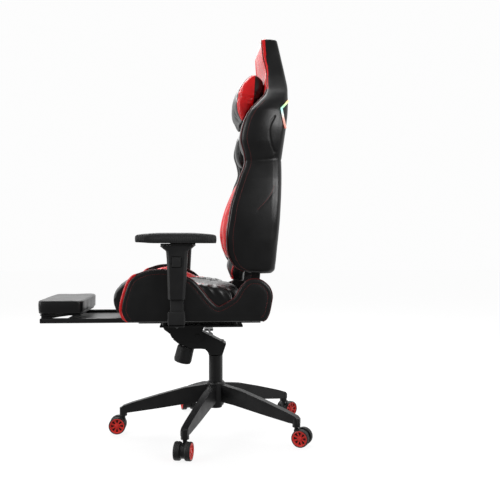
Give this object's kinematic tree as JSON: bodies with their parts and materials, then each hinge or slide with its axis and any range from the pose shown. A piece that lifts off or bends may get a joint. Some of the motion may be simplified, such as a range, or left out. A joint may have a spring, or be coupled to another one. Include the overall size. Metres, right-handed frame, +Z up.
{
  "type": "gaming chair",
  "caption": "High-backed reclining gaming chair on a caster base, with bucket-style wings, a head pillow, adjustable armrests and a slide-out footrest.",
  "frame": {"origin": "floor point under the centre of the whole chair's bounding box", "axes": "+Z up; the sitter faces -Y and has +X on the left hand"},
  "size_m": [0.7396, 0.927, 1.384],
  "materials": {
    "black_leather": "satin grained, red topstitching",
    "red_leather": "satin grained",
    "black_plastic": "satin moulded",
    "soft_black_plastic": "fine textured",
    "caster_wheel": "black tread round a red face",
    "black_steel": "powder coated",
    "bright_steel": "ground",
    "light_strip": "translucent, rainbow lit"
  },
  "bodies": {
    "base": {"base_star": "black_plastic", "gas_spring_tube": "black_steel"},
    "caster_1_swivel": {"caster_1_fork": "black_plastic"},
    "caster_1_axle": {"caster_1_wheel_inner": "caster_wheel", "caster_1_wheel_outer": "caster_wheel"},
    "caster_2_swivel": {"caster_2_fork": "black_plastic"},
    "caster_2_axle": {"caster_2_wheel_inner": "caster_wheel", "caster_2_wheel_outer": "caster_wheel"},
    "caster_3_swivel": {"caster_3_fork": "black_plastic"},
    "caster_3_axle": {"caster_3_wheel_inner": "caster_wheel", "caster_3_wheel_outer": "caster_wheel"},
    "caster_4_swivel": {"caster_4_fork": "black_plastic"},
    "caster_4_axle": {"caster_4_wheel_inner": "caster_wheel", "caster_4_wheel_outer": "caster_wheel"},
    "caster_5_swivel": {"caster_5_fork": "black_plastic"},
    "caster_5_axle": {"caster_5_wheel_inner": "caster_wheel", "caster_5_wheel_outer": "caster_wheel"},
    "lift": {"gas_spring_piston": "bright_steel"},
    "turntable": {"mechanism_housing": "black_steel"},
    "knob": {"tension_knob": "soft_black_plastic", "tension_spring": "bright_steel"},
    "lever": {"height_lever": "soft_black_plastic"},
    "seat": {"mechanism_top_plate": "black_steel", "seat_frame": "black_steel", "seat_cushion": "black_leather", "seat_bolster_left": "black_leather", "hinge_plate_left": "black_steel", "arm_bracket_left": "black_steel", "arm_core_left": "soft_black_plastic", "footrest_guide_left": "black_steel", "seat_bolster_right": "black_leather", "hinge_plate_right": "black_steel", "arm_bracket_right": "black_steel", "arm_core_right": "soft_black_plastic", "footrest_guide_right": "black_steel"},
    "recline_handle": {"recline_lever": "soft_black_plastic"},
    "back": {"recline_shaft": "bright_steel", "back_shell": "black_leather", "back_frame": "black_steel", "back_centre_pad": "black_leather", "head_pillow": "black_leather", "back_bracket_left": "black_steel", "lower_wing_left": "red_leather", "shoulder_wing_left": "black_leather", "light_strip_left": "light_strip", "back_bracket_right": "black_steel", "lower_wing_right": "red_leather", "shoulder_wing_right": "black_leather", "light_strip_right": "light_strip"},
    "arm_height_left": {"arm_sleeve_left": "black_plastic"},
    "arm_button_left": {"arm_height_button_left": "soft_black_plastic"},
    "arm_slide_left": {"arm_slider_left": "black_steel"},
    "arm_swivel_left": {"arm_pad_left": "soft_black_plastic"},
    "arm_height_right": {"arm_sleeve_right": "black_plastic"},
    "arm_button_right": {"arm_height_button_right": "soft_black_plastic"},
    "arm_slide_right": {"arm_slider_right": "black_steel"},
    "arm_swivel_right": {"arm_pad_right": "soft_black_plastic"},
    "footrest_slide": {"footrest_frame": "black_steel"},
    "footrest_flip": {"footrest_hinge": "black_steel", "footrest_pad": "black_leather"}
  },
  "joints": [
    {"name": "caster_1_swivel", "type": "hinge", "parent": "base", "child": "caster_1_swivel", "pos_m": [0, -0.1923, 0.0625], "axis": [0, 0, 1], "continuous": true},
    {"name": "caster_1_roll", "type": "hinge", "parent": "caster_1_swivel", "child": "caster_1_axle", "pos_m": [0, -0.2123, 0.03], "axis": [1, 0, 0], "continuous": true},
    {"name": "caster_2_swivel", "type": "hinge", "parent": "base", "child": "caster_2_swivel", "pos_m": [0.31575, 0.03711, 0.0625], "axis": [0, 0, 1], "continuous": true},
    {"name": "caster_2_roll", "type": "hinge", "parent": "caster_2_swivel", "child": "caster_2_axle", "pos_m": [0.33524, 0.03261, 0.03], "axis": [0.225, 0.9744, 0], "continuous": true},
    {"name": "caster_3_swivel", "type": "hinge", "parent": "base", "child": "caster_3_swivel", "pos_m": [0.19515, 0.40829, 0.0625], "axis": [0, 0, 1], "continuous": true},
    {"name": "caster_3_roll", "type": "hinge", "parent": "caster_3_swivel", "child": "caster_3_axle", "pos_m": [0.20422, 0.42611, 0.03], "axis": [-0.891, 0.454, 0], "continuous": true},
    {"name": "caster_4_swivel", "type": "hinge", "parent": "base", "child": "caster_4_swivel", "pos_m": [-0.19515, 0.40829, 0.0625], "axis": [0, 0, 1], "continuous": true},
    {"name": "caster_4_roll", "type": "hinge", "parent": "caster_4_swivel", "child": "caster_4_axle", "pos_m": [-0.2076, 0.42395, 0.03], "axis": [-0.7826, -0.6225, 0], "continuous": true},
    {"name": "caster_5_swivel", "type": "hinge", "parent": "base", "child": "caster_5_swivel", "pos_m": [-0.31575, 0.03711, 0.0625], "axis": [0, 0, 1], "continuous": true},
    {"name": "caster_5_roll", "type": "hinge", "parent": "caster_5_swivel", "child": "caster_5_axle", "pos_m": [-0.33524, 0.03261, 0.03], "axis": [0.225, -0.9744, 0], "continuous": true},
    {"name": "seat_height", "type": "slide", "parent": "base", "child": "lift", "axis": [0, 0, 1], "range_m": [0, 0.08]},
    {"name": "seat_swivel", "type": "hinge", "parent": "lift", "child": "turntable", "pos_m": [0, 0.1397, 0.3], "axis": [0, 0, 1], "continuous": true},
    {"name": "seat_tilt", "type": "hinge", "parent": "turntable", "child": "seat", "pos_m": [0, 0.0737, 0.352], "axis": [-1, 0, 0], "range_deg": [0, 12], "stiffness_Nm_per_rad": 140, "springref_deg": -22.92},
    {"name": "tension_knob", "type": "hinge", "parent": "turntable", "child": "knob", "pos_m": [0, 0.0332, 0.312], "axis": [0, 0.2426, 0.9701], "continuous": true},
    {"name": "height_lever", "type": "hinge", "parent": "turntable", "child": "lever", "pos_m": [-0.035, 0.1277, 0.332], "axis": [0, 1, 0], "range_deg": [0, 6], "stiffness_Nm_per_rad": 1.5, "springref_deg": -8.59},
    {"name": "back_recline", "type": "hinge", "parent": "seat", "child": "back", "pos_m": [0, 0.2767, 0.534], "axis": [-1, 0, 0], "range_deg": [0, 52.6]},
    {"name": "recline_lever", "type": "hinge", "parent": "seat", "child": "recline_handle", "pos_m": [-0.27, 0.2767, 0.534], "axis": [-1, 0, 0], "range_deg": [0, 20], "stiffness_Nm_per_rad": 1.2, "springref_deg": -8.59},
    {"name": "arm_height_left", "type": "slide", "parent": "seat", "child": "arm_height_left", "axis": [0, 0, 1], "range_m": [-0.035, 0.045]},
    {"name": "arm_button_left", "type": "slide", "parent": "arm_height_left", "child": "arm_button_left", "axis": [-1, 0, 0], "range_m": [0, 0.003], "stiffness_N_per_m": 300, "springref_m": -0.002},
    {"name": "arm_slide_left", "type": "slide", "parent": "arm_height_left", "child": "arm_slide_left", "axis": [0, 1, 0], "range_m": [-0.025, 0.025]},
    {"name": "arm_swivel_left", "type": "hinge", "parent": "arm_slide_left", "child": "arm_swivel_left", "pos_m": [0.302, 0.0122, 0.682], "axis": [0, 0, 1], "range_deg": [-20, 20]},
    {"name": "arm_height_right", "type": "slide", "parent": "seat", "child": "arm_height_right", "axis": [0, 0, 1], "range_m": [-0.035, 0.045]},
    {"name": "arm_button_right", "type": "slide", "parent": "arm_height_right", "child": "arm_button_right", "axis": [1, 0, 0], "range_m": [0, 0.003], "stiffness_N_per_m": 300, "springref_m": -0.002},
    {"name": "arm_slide_right", "type": "slide", "parent": "arm_height_right", "child": "arm_slide_right", "axis": [0, 1, 0], "range_m": [-0.025, 0.025]},
    {"name": "arm_swivel_right", "type": "hinge", "parent": "arm_slide_right", "child": "arm_swivel_right", "pos_m": [-0.302, 0.0122, 0.682], "axis": [0, 0, 1], "range_deg": [-20, 20]},
    {"name": "footrest_slide", "type": "slide", "parent": "seat", "child": "footrest_slide", "axis": [0, 1, 0], "range_m": [0, 0.36]},
    {"name": "footrest_flip", "type": "hinge", "parent": "footrest_slide", "child": "footrest_flip", "pos_m": [0, -0.4453, 0.422], "axis": [1, 0, 0], "range_deg": [0, 180]}
  ],
  "couplings": [
    {"joint": "footrest_flip", "follows": "footrest_slide", "rad_per_m": 8.72}
  ]
}
